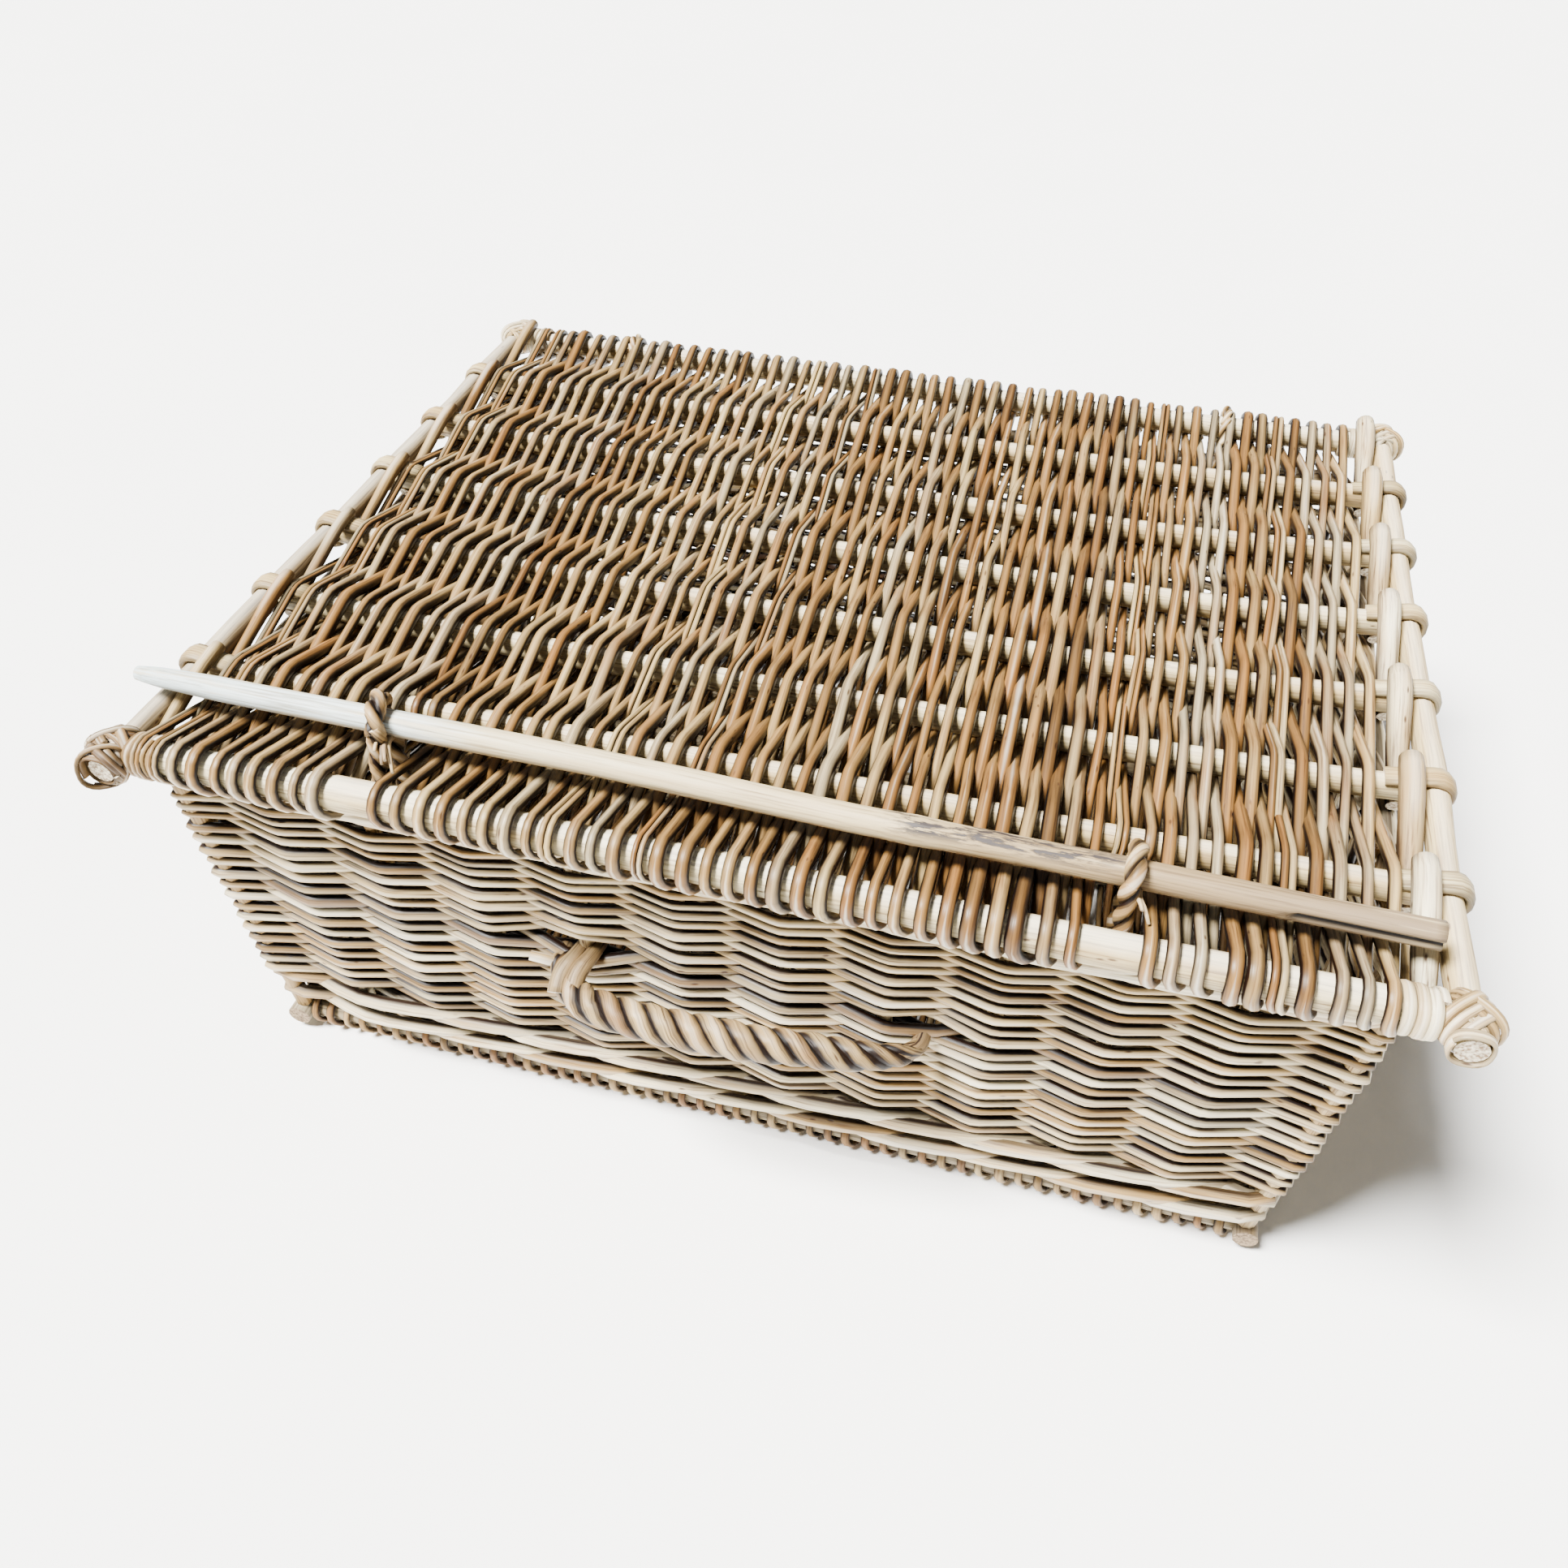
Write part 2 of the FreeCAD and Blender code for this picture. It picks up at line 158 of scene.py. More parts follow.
class Rods:
    """The rods of one piece: one mesh, with its own strip of the piece's map for each rod."""

    def __init__(self):
        self.points, self.grain, self.tone, self.kind = [], [], [], []
        self.quads, self.quad_uv, self.caps, self.cap_uv = [], [], [], []
        self.count, self.strips = 0, []

    def add(self, path, radius, side=None, sides=8, width=1.0, depth=1.0, tone=0.0, kind=None,
            crown=None, groove=0.0, over=None):
        """width and depth stretch the section along side and across it; tone is darker below 0.

        The strength after crown paints shade on what turns away from the crown direction:
        the flanks, and with a crown for every point and no over the inner side too; what faces
        the crown gets a painted highlight. over is 1 where the rod passes a stick on the crown's
        side, and -1 where it passes behind: the hidden faces get painted shade."""
        path = np.asarray(path, float)
        n = len(path)
        t = tangents(path)
        side = carried(path) if side is None else np.broadcast_to(side, path.shape)
        b = unit(side - t * (side * t).sum(1, keepdims=True))
        m = np.cross(b, t)
        angle = np.arange(sides) * (2 * math.pi / sides)
        r = np.asarray(radius, float)
        r = r if r.ndim == 2 else np.broadcast_to(r, (n,))[:, None]
        width = np.broadcast_to(width, (n,))[:, None]
        depth = np.broadcast_to(depth, (n,))[:, None]
        u, v = np.cos(angle) * r * width, np.sin(angle) * r * depth
        ring = path[:, None] + u[..., None] * b[:, None] + v[..., None] * m[:, None]
        along = np.concatenate([[0], np.cumsum(np.linalg.norm(np.diff(path, axis=0), axis=1))])
        start = rng.uniform(0, 40)
        grain = [np.repeat((along + start)[:, None], sides, 1), u + rng.uniform(-5, 5), v]
        grain = np.stack(grain, -1)
        self.points.append(ring.reshape(-1, 3))
        self.grain.append(grain.reshape(-1, 3))
        shades = tone if np.ndim(tone) > 1 else np.broadcast_to(tone, (n,))[:, None]
        shades = np.broadcast_to(shades, (n, sides))
        # painted shade on the flanks and on faces hidden against a stick, and a painted highlight on
        # the crown
        if groove:
            facing = (unit(ring - path[:, None]) * np.reshape(crown, (-1, 1, 3))).sum(-1)
            if over is not None:
                behind = 0.5 - 0.5 * over[:, None] * np.sign(facing)
                shades = shades - np.abs(facing) * behind ** 2
            facing = facing if np.ndim(crown) > 1 and over is None else np.abs(facing)
            shades = shades - groove * np.clip(1 - facing, 0, 1) ** 1.3
            shades = shades + 0.3 * np.clip(facing, 0, 1) ** 5
        self.tone.append(shades.ravel())
        self.kind.append(np.full(n * sides, rng.uniform() if kind is None else kind))
        i, j = np.meshgrid(np.arange(n - 1), np.arange(sides), indexing="ij")
        k = (j + 1) % sides
        quads = np.stack([i * sides + j, (i + 1) * sides + j, (i + 1) * sides + k, i * sides + k], -1)
        self.quads.append(quads.reshape(-1, 4) + self.count)
        girth = 2 * math.pi * float(np.mean(r) * (np.mean(width) + np.mean(depth)) / 2)
        a, c = along[i], along[i + 1]
        g, h = j * girth / sides, (j + 1) * girth / sides
        uv = np.stack([np.stack(p, -1) for p in ((a, g), (c, g), (c, h), (a, h))], -2)
        self.quad_uv.append(uv.reshape(-1, 4, 2))
        first = self.count + np.arange(sides)
        last = self.count + (n - 1) * sides + np.arange(sides)
        self.caps += [first, last[::-1]]
        disc = np.stack([np.cos(angle), np.sin(angle)], -1) * girth / (2 * math.pi)
        self.cap_uv += [disc, disc[::-1]]
        self.strips.append((along[-1], girth))
        self.count += n * sides

    def pack_map(self):
        """Places each rod's strip, and after it its two cut ends, in rows of one map."""
        margin = 1.2 * MM
        area = sum((l + 2 * g) * (g + margin) for l, g in self.strips)
        shelf = max(math.sqrt(area) * 1.02, max(l + g for l, g in self.strips) + 4 * margin)
        order = sorted(range(len(self.strips)), key=lambda i: -self.strips[i][1])
        x, y, height = margin, margin, 0.0
        for i in order:
            length, girth = self.strips[i]
            need = length + 2 * girth / math.pi + 4 * margin
            if x + need > shelf + margin:
                x, y, height = margin, y + height + margin, 0.0
            self.quad_uv[i] = self.quad_uv[i] + (x, y)
            r = girth / (2 * math.pi)
            for e in range(2):
                centre = (x + length + margin + r + e * (2 * r + margin), y + r)
                self.cap_uv[2 * i + e] = self.cap_uv[2 * i + e] + centre
            x += need
            height = max(height, girth)
        return max(shelf + 2 * margin, y + height + margin)

    def build(self, name, body, nodes, slot, face, ends=None):
        """Makes the mesh: face is the rods' material, ends the material of their cut ends."""
        span = self.pack_map()
        points = np.concatenate(self.points)
        quads = np.concatenate(self.quads)
        sizes = [4] * len(quads) + [len(c) for c in self.caps]
        loops = np.concatenate([quads.ravel()] + self.caps)
        mesh = bpy.data.meshes.new(name)
        mesh.vertices.add(len(points))
        mesh.vertices.foreach_set("co", points.astype(np.float32).ravel())
        mesh.loops.add(len(loops))
        mesh.loops.foreach_set("vertex_index", loops.astype(np.int32))
        mesh.polygons.add(len(sizes))
        starts = np.concatenate([[0], np.cumsum(sizes)[:-1]]).astype(np.int32)
        mesh.polygons.foreach_set("loop_start", starts)
        mesh.polygons.foreach_set("loop_total", np.array(sizes, np.int32))
        mesh.update(calc_edges=True)
        is_cap = np.arange(len(sizes)) >= len(quads)
        mesh.polygons.foreach_set("use_smooth", ~is_cap)
        mesh.polygons.foreach_set("material_index", is_cap.astype(np.int32))
        for key, kind, values in (("grain", "FLOAT_VECTOR", self.grain),
                                  ("tone", "FLOAT", self.tone), ("rod", "FLOAT", self.kind)):
            layer = mesh.attributes.new(key, kind, "POINT")
            field = "vector" if kind == "FLOAT_VECTOR" else "value"
            layer.data.foreach_set(field, np.concatenate(values).astype(np.float32).ravel())
        uv = np.concatenate([u.reshape(-1, 2) for u in self.quad_uv] + self.cap_uv) / span
        mesh.uv_layers.new(name="OFBake").data.foreach_set("uv", uv.astype(np.float32).ravel())
        mesh.materials.append(face)
        mesh.materials.append(ends or cut_end)
        mesh.validate()
        piece = bpy.data.objects.new(name, mesh)
        bpy.context.scene.collection.objects.link(piece)
        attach(piece, body)
        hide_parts(*nodes)
        return piece


# ---- materials ----
def linear(*rgb):
    return [((c / 255 + 0.055) / 1.055) ** 2.4 if c > 10 else c / 3294.6 for c in rgb] + [1.0]


class Nodes:
    """Short calls for the nodes of one material."""

    def __init__(self, name):
        self.material = bpy.data.materials.new(name)
        self.material.use_nodes = True
        self.tree = self.material.node_tree
        self.shader = self.tree.nodes["Principled BSDF"]

    def put(self, value, socket):
        if isinstance(value, bpy.types.NodeSocket):
            self.tree.links.new(value, socket)
        else:
            socket.default_value = value

    def new(self, kind, **inputs):
        """A node with values or sockets put into its inputs."""
        node = self.tree.nodes.new("ShaderNode" + kind)
        for name, value in inputs.items():
            self.put(value, node.inputs[name])
        return node

    def paint(self, colour, rough):
        self.put(colour, self.shader.inputs["Base Color"])
        self.put(rough, self.shader.inputs["Roughness"])

    def place(self):
        return self.new("TexCoord").outputs["Object"]

    def attribute(self, name, output="Fac"):
        node = self.new("Attribute")
        node.attribute_name = name
        return node.outputs[output]

    def stretch(self, vector, scale):
        return self.new("Mapping", Vector=vector, Scale=scale).outputs["Vector"]

    def noise(self, vector, detail=3.0, rough=0.55, scale=1.0):
        node = self.new("TexNoise", Vector=vector, Scale=scale, Detail=detail, Roughness=rough)
        return node.outputs["Fac"]

    def spots(self, vector):
        return self.new("TexVoronoi", Vector=vector, Scale=1.0).outputs["Distance"]

    def ramp(self, value, *stops):
        """Each stop is (place, colour or grey)."""
        node = self.new("ValToRGB", Fac=value)
        ramp = node.color_ramp
        while len(ramp.elements) < len(stops):
            ramp.elements.new(0.5)
        for element, (place, colour) in zip(ramp.elements, stops):
            element.position = place
            element.color = colour if np.ndim(colour) else [colour] * 3 + [1]
        return node.outputs["Color"]

    def mix(self, share, a, b, how="MIX"):
        """Colours a and b; the colour sockets are the seventh, the eighth and the third."""
        node = self.new("Mix")
        node.data_type = "RGBA"
        node.blend_type = how
        self.put(share, node.inputs["Factor"])
        self.put(a, node.inputs[6])
        self.put(b, node.inputs[7])
        return node.outputs[2]

    def math(self, how, a, b=0.0):
        node = self.new("Math")
        node.operation = how
        self.put(a, node.inputs[0])
        self.put(b, node.inputs[1])
        return node.outputs[0]

    def bump(self, height, strength, distance):
        node = self.new("Bump", Strength=strength, Distance=distance, Height=height)
        self.tree.links.new(node.outputs["Normal"], self.shader.inputs["Normal"])


def willow(name, tones, blush, dark, rough=0.5, streak=0.5, speck=0.5):
    """Bark-side willow: tones over the rods, blush along them, dark streaks and specks."""
    n = Nodes(name)
    grain = n.attribute("grain", "Vector")
    rod = n.attribute("rod")
    tone = n.attribute("tone")
    stops = [(i / (len(tones) - 1), c) for i, c in enumerate(tones)]
    colour = n.ramp(rod, *stops)
    patch = n.noise(n.stretch(grain, (14, 60, 60)), 3.0)
    colour = n.mix(n.ramp(patch, (0.42, 0.0), (0.72, 0.85)), colour, blush)
    fibre = n.noise(n.stretch(grain, (26, 900, 900)), 4.0, 0.6)
    colour = n.mix(n.ramp(fibre, (0.30, streak), (0.52, 0.0)), colour, dark, "MULTIPLY")
    colour = n.mix(n.ramp(fibre, (0.55, 0.0), (0.8, 0.35)), colour, linear(250, 240, 215), "SOFT_LIGHT")
    dots = n.spots(n.stretch(grain, (75, 260, 260)))
    gate = n.noise(n.stretch(grain, (30, 120, 120)), 1.0)
    dots = n.math("ADD", dots, n.ramp(gate, (0.5, 0.25), (0.62, 0.0)))
    mark = n.ramp(dots, (0.09, speck), (0.2, 0.0))
    colour = n.mix(mark, colour, linear(70, 45, 30))
    # tone darkens or lightens whole stretches: random tone of the rods, plus the shade and highlights
    # painted on them
    shade_and_dark_tone = n.math("MAXIMUM", n.math("MULTIPLY", tone, -1.0), 0.0)
    colour = n.mix(n.math("MINIMUM", shade_and_dark_tone, 1.0), colour, linear(38, 23, 13), "MULTIPLY")
    colour = n.mix(n.math("MAXIMUM", tone, 0.0), colour, linear(250, 243, 226))
    n.paint(colour, n.ramp(fibre, (0.3, rough + 0.12), (0.7, rough - 0.1)))
    n.shader.inputs["Specular IOR Level"].default_value = 0.28
    height = n.math("ADD", fibre, n.math("MULTIPLY", mark, -1.5))
    height = n.math("ADD", height, n.math("MULTIPLY", patch, 1.2))
    n.bump(height, 0.55, 0.35 * MM)
    return n.material


def cut_wood(name, pale, dark):
    """The pithy face of a cut rod."""
    n = Nodes(name)
    grain = n.attribute("grain", "Vector")
    rings = n.noise(n.stretch(grain, (40, 700, 700)), 3.0)
    n.paint(n.ramp(rings, (0.35, dark), (0.62, pale)), n.ramp(rings, (0.3, 0.85), (0.7, 0.7)))
    n.bump(rings, 0.5, 0.4 * MM)
    return n.material


cream, straw, tan = linear(220, 208, 174), linear(188, 164, 116), linear(146, 116, 68)
amber, umber, plum = linear(138, 98, 48), linear(94, 66, 34), linear(96, 70, 64)
ash, bark = linear(170, 158, 130), linear(112, 94, 68)
cut_end = cut_wood("cut_end", linear(226, 214, 188), linear(120, 96, 70))
worn_end = cut_wood("worn_end", linear(150, 128, 98), linear(84, 64, 44))
lid_willow = willow("lid_willow", [linear(122, 86, 42), linear(136, 106, 60), linear(176, 152, 104),
                                   tan, linear(152, 138, 108), linear(172, 146, 98),
                                   linear(132, 102, 58), umber],
                    linear(128, 86, 40), linear(104, 74, 46), 0.42, 0.75, 0.8)
wall_willow = willow("wall_willow", [straw, cream, straw, ash, cream, straw, tan, cream, straw,
                                     cream, tan, straw, plum],
                     linear(158, 122, 68), linear(112, 86, 56), 0.42, 0.85, 0.95)
stick_willow = willow("stick_willow", [linear(206, 190, 146), linear(194, 174, 128), straw,
                                       linear(208, 194, 154), straw],
                      linear(164, 134, 84), linear(116, 88, 56), 0.5, 0.85, 0.85)
bark_willow = willow("bark_willow", [bark, linear(134, 114, 80), linear(150, 138, 112), bark],
                     linear(172, 158, 130), linear(84, 62, 42), 0.55, 0.85, 0.9)
packing_willow = willow("packing_willow", [straw, cream, tan, straw, cream],
                        linear(150, 112, 62), linear(104, 76, 46), 0.5, 0.9, 0.9)
edge_willow = willow("edge_willow", [straw, cream, tan, straw, cream, ash],
                     linear(168, 132, 80), linear(116, 88, 56), 0.46, 0.85, 0.9)
base_willow = willow("base_willow", [umber, tan, amber, tan, straw],
                     linear(120, 80, 48), linear(96, 64, 40), 0.55)
handle_willow = willow("handle_willow", [linear(150, 124, 82), linear(168, 144, 100), bark],
                       linear(112, 80, 48), linear(70, 48, 30), 0.5, 1.0, 0.9)
loop_willow = willow("loop_willow", [tan, straw, amber], linear(136, 98, 52),
                     linear(96, 66, 40), 0.45, 0.8, 0.6)
skein_brown = willow("skein_brown", [umber, tan, bark], linear(104, 72, 40),
                     linear(84, 58, 36), 0.5, 0.7, 0.6)


# ---- woven panels: the lid and the base ----
def turn(stick, x0, x1, radius, from_side, forward, steps=9):
    """Arc round a stick, from above it (1) or below it (-1); it moves over under the stick."""
    y, z, stick_radius = stick
    reach = stick_radius + radius * 0.86
    share = np.linspace(0, 1, steps)
    angle = (share * 1.06 - 0.03) * math.pi
    late = np.clip(share * 1.7 - (0.7 if from_side > 0 else 0.0), 0, 1)
    x = x0 + (x1 - x0) * (0.5 - 0.5 * np.cos(late * math.pi))
    lift = np.cos(angle) * from_side
    return np.stack([x, y + forward * np.sin(angle) * reach, z + lift * reach], 1)


def weave_pass(sticks, x, k, radius, first, last):
    """Knees of one pass over and under the sticks first..last, going back."""
    knees = []
    for i in range(first, last + 1):
        y, z, stick_radius = sticks[i]
        side = 1 if (i + k) % 2 == 0 else -1
        knees.append((x[i], y + rng.normal(0, 0.6 * MM), z + side * (stick_radius + radius * 0.95)))
    return knees


def woven_panel(rods, sticks, centre, half_width, pitch, radius, shape, front_slots=(),
                back_slots=(), sides=8, step=22 * MM, upper=-0.22, lower=0.4, spread=0.14,
                drift=0.55 * MM, doubled=0.0, groove=0.8):
    """Serpentine weavers: each rod is two passes joined round the front stick.

    Slots are (place, half width): rods there turn round the next stick instead. upper and
    lower shade what lies above and below the sticks; doubled is the share of paired thin rods.
    """
    count = int(2 * half_width / pitch / 2)
    pitch = half_width / count
    last = len(sticks) - 1
    corner, flattened, full_height = 5.5 * MM, 0.66, 9 * MM

    def in_slot(x, slots):
        return any(abs(x - at) < half for at, half in slots)

    for j in range(count):
        x0 = centre - half_width + (2 * j + 0.5) * pitch
        r = radius * rng.uniform(1 - spread, 1 + spread)
        xa = x0 + wander(last + 1, drift, last + 1)
        xb = x0 + pitch + wander(last + 1, drift, last + 1)
        front = 1 if in_slot(x0 + pitch / 2, front_slots) else 0
        back_a = last - 1 if in_slot(x0 - pitch / 2, back_slots) else last
        back_b = last - 1 if in_slot(x0 + 1.5 * pitch, back_slots) else last
        go = weave_pass(sticks, xa, 2 * j, r, front, back_a)[::-1]
        come = weave_pass(sticks, xb, 2 * j + 1, r, front, back_b)
        from_side = 1 if front % 2 == 0 else -1
        bend = turn(sticks[front], xa[front], xb[front], r, from_side, -1)
        side_b = 1 if (back_b + 2 * j + 1) % 2 == 0 else -1
        tail = turn(sticks[back_b], xb[back_b], xb[back_b] + pitch, r, side_b, 1)
        body = divide(round_corners(np.array(go), corner)[:-1], step)
        rest = divide(round_corners(np.array(come), corner)[1:-1], step)
        path = shape(np.concatenate([body, bend, rest, tail]))
        n = len(path)
        turns = ((slice(len(body), len(body) + len(bend)), front),
                 (slice(n - len(tail), n), back_b))
        swell = r * (1 + wander(n, 0.05, 10))
        surface = shape(np.stack([path[:, 0], path[:, 1], np.full(n, sticks[0][1])], 1))[:, 2]
        height = np.clip((path[:, 2] - surface) / full_height, -1, 1)
        tone = np.where(height > 0, upper * height, -lower * height) + rng.normal(0, 0.07)
        tone = tone + wander(n, 0.08, 8)
        # over sets where painted shade darkens the faces hidden against the sticks
        over = np.clip(height * 1.1, -1, 1)
        flat, crown = np.ones(n), np.tile(Z, (n, 1))
        for part, held in turns:
            centre_line = path[part] * X + np.array([0, sticks[held][0], sticks[held][1]])
            crown[part] = unit(path[part] - centre_line)
            over[part], flat[part] = 1.0, flattened
        looks = dict(sides=sides, tone=tone, crown=crown, groove=groove, over=over)
        if rng.uniform() < doubled:
            for shift in (-0.52, 0.52):
                rods.add(path + X * shift * r, swell * 0.56, X, **looks)
        else:
            rods.add(path, swell, X, depth=flat, **looks)


def lid_shape(path):
    """Lowers points towards the middle of the lid."""
    v = (2 * path[:, 1] - lid_front_y - lid_back_y) / (lid_back_y - lid_front_y)
    u = (path[:, 0] - lid_x) / lid_side_x
    path = path.copy()
    path[:, 2] -= LID_SAG * np.clip(1 - v ** 2, 0, 1) ** 1.4 * np.clip(1 - u ** 4, 0, 1)
    return path


def level(path):
    """Leaves a panel flat."""
    return path


def stick_path(start, end, steps, amount, shape=None):
    """A nearly straight stick with a slow bend."""
    share = np.linspace(0, 1, steps)[:, None]
    path = np.asarray(start) + (np.asarray(end) - np.asarray(start)) * share
    fade = np.sin(share[:, 0] * math.pi)
    path[:, 1] += wander(steps, amount, 5) * fade
    path[:, 2] += wander(steps, amount * 0.6, 5) * fade
    return shape(path) if shape else path


def knotty(steps, radius, amount=0.03, knots=9):
    return radius * (1 + wander(steps, amount, knots))


def make_lid():
    sticks = []
    for i in range(LID_STICKS):
        y = lid_front_y + (lid_back_y - lid_front_y) * i / (LID_STICKS - 1)
        r = front_radius if i == 0 else back_radius if i == LID_STICKS - 1 else cross_radius
        sticks.append((y, lid_z, r))
    make_lid_weave(sticks)
    make_lid_sticks(sticks)
    for sign, name in ((-1, "left"), (1, "right")):
        make_side_stick(sign, name)
        make_laps(sign, name, sticks)
        make_packing(sign, name, sticks)
    make_bindings(sticks)


def make_lid_weave(sticks):
    hasps = [(middle("hasp_loop_" + s)[0], HASP_SLOT_HALF) for s in ("left", "right")]
    hinges = [(middle("hinge_loop_" + s)[0], HINGE_SLOT_HALF) for s in ("left", "right")]
    left, right = lid_side_x - LID_WEAVE_INSET_LEFT, lid_side_x - LID_WEAVE_INSET_RIGHT
    weave = Rods()
    woven_panel(weave, sticks, lid_x + (right - left) / 2, (left + right) / 2, LID_PITCH, LID_ROD,
                lid_shape, hasps, hinges, upper=-0.28, spread=0.2, drift=0.8 * MM, doubled=0.12,
                groove=1.3)
    weave.build("lid_weaving", "lid", ["lid_weave"], "woven_willow", lid_willow)


def make_lid_sticks(sticks):
    steps = 44
    for node, (y, z, r) in (("lid_front_stick", sticks[0]), ("lid_back_stick", sticks[-1])):
        low, high = corners(node)
        reach = 6 * MM
        piece = Rods()
        path = stick_path((low[0] - reach, y, z), (high[0] + reach, y, z), steps, 0.5 * MM)
        piece.add(path, knotty(steps, r), Z, 16, tone=0.15, crown=Z, groove=0.35)
        piece.build(node + "_wood", "lid", [node], "willow_sticks", stick_willow)
    low, high = corners("lid_cross_sticks")
    reach = 8 * MM
    cross = Rods()
    for y, z, r in sticks[1:-1]:
        path = stick_path((low[0] - reach, y, z), (high[0] + reach, y, z), steps, 0.6 * MM,
                          lid_shape)
        cross.add(path, knotty(steps, r), Z, 14, crown=Z, groove=0.6)
    cross.build("lid_cross_sticks_wood", "lid", ["lid_cross_sticks"], "willow_sticks", stick_willow)


def make_side_stick(sign, name):
    node = "lid_side_stick_" + name
    low, high = corners(node)
    x, steps = lid_x + sign * lid_side_x, 40
    side = Rods()
    path = stick_path((x, low[1] + 5 * MM, lid_z), (x, high[1], lid_z), steps, 0.2 * MM)
    path[:, 0] += wander(steps, 0.6 * MM, 7)
    side.add(path, knotty(steps, side_radius, 0.05, 14), Z, 14, crown=Z, groove=0.5)
    side.build(node + "_wood", "lid", [node], "willow_sticks",
               bark_willow if sign < 0 else stick_willow)


def make_laps(sign, name, sticks):
    """The cross sticks' ends, shaved flat and bent over and round the side stick."""
    node = "lid_stick_laps_" + name
    x, steps = lid_x + sign * lid_side_x, 14
    reach = side_radius + 1.6 * MM
    half_width, thin = 5.4 * MM, 0.42
    laps = Rods()
    for y, z, _ in sticks[1:-1]:
        turns = np.linspace(-0.30, 1.25, steps) * math.pi
        ring = np.stack([x + sign * np.sin(turns) * reach, y + wander(steps, 0.5 * MM, 4),
                         z + np.cos(turns) * reach], 1)
        lead = np.array([[x - sign * 22 * MM, y, z + 4.0 * MM],
                         [x - sign * 13 * MM, y, z + 5.6 * MM]])
        path = np.concatenate([lead, ring[2:]])
        wide = np.interp(np.arange(steps), [0, 3, steps - 1], [1.0, 1.15, 0.8])
        laps.add(path, half_width * wide, Y, 10, 1.15, thin, tone=rng.normal(-0.04, 0.1), crown=Z,
                 groove=0.6)
    laps.build(node + "_wood", "lid", [node], "willow_sticks", stick_willow)


# distance from the side stick, thick and thin radius of the packing on each side, in mm
PACKING = {"left": (9.6, 3.6, 3.2), "right": (12.6, 5.7, 3.8)}


def make_packing(sign, name, sticks):
    """Short sticks down each side, thick end on top of one cross stick, thin end under the next."""
    node = "lid_side_packing_" + name
    inset, thick, thin = np.array(PACKING[name]) * MM
    x = lid_x + sign * (lid_side_x - inset)
    inner_x = x - sign * 1 * MM
    packing = Rods()
    for near, far in zip(sticks, sticks[1:]):
        start = (x, far[0] + 6 * MM, lid_z + far[2] + thick * 0.95)
        knee = (x, far[0] - 8 * MM, lid_z + far[2] + thick * 0.75)
        low = (inner_x, near[0] + 14 * MM, lid_z - 3.0 * MM)
        end = (inner_x, near[0] - 4 * MM, lid_z - near[2] - thin * 0.8)
        path = divide(round_corners([start, knee, low, end], 12 * MM), 8 * MM)
        n = len(path)
        r = np.interp(np.linspace(0, 1, n), [0, 0.04, 0.12, 0.7, 1],
                      [thick * 0.96, thick * 1.02, thick * 1.04, thick * 0.92, thin])
        shaded = np.interp(path[:, 2] - lid_z, [-6 * MM, 7 * MM], [-0.55, 0.02])
        packing.add(path, r * (1 + wander(n, 0.03, 6)), X, 14,
                    tone=shaded + rng.normal(-0.05, 0.08), crown=Z, groove=0.7)
    packing.build(node + "_wood", "lid", [node], "willow_sticks",
                  lid_willow if sign < 0 else packing_willow)


def band(rods, centre, across, over, reach, height, width, thick, start, turns, lean, tone):
    """Flat skein wound round a centre in the plane of two directions; it shifts by lean."""
    steps = max(16, int(24 * turns))
    angle = start + np.linspace(0, 2 * math.pi * turns, steps)
    axis = np.cross(across, over)

    def squared(v):
        return (np.sign(v) * np.abs(v) ** 0.8)[:, None]

    path = (centre + reach * squared(np.cos(angle)) * across
            + height * squared(np.sin(angle)) * over
            + axis * (np.linspace(-0.5, 0.5, steps) * lean)[:, None])
    rods.add(path, 1.0, axis, 8, width / 2, thick / 2, tone + wander(steps, 0.1, 6),
             crown=unit(path - centre), groove=0.5)


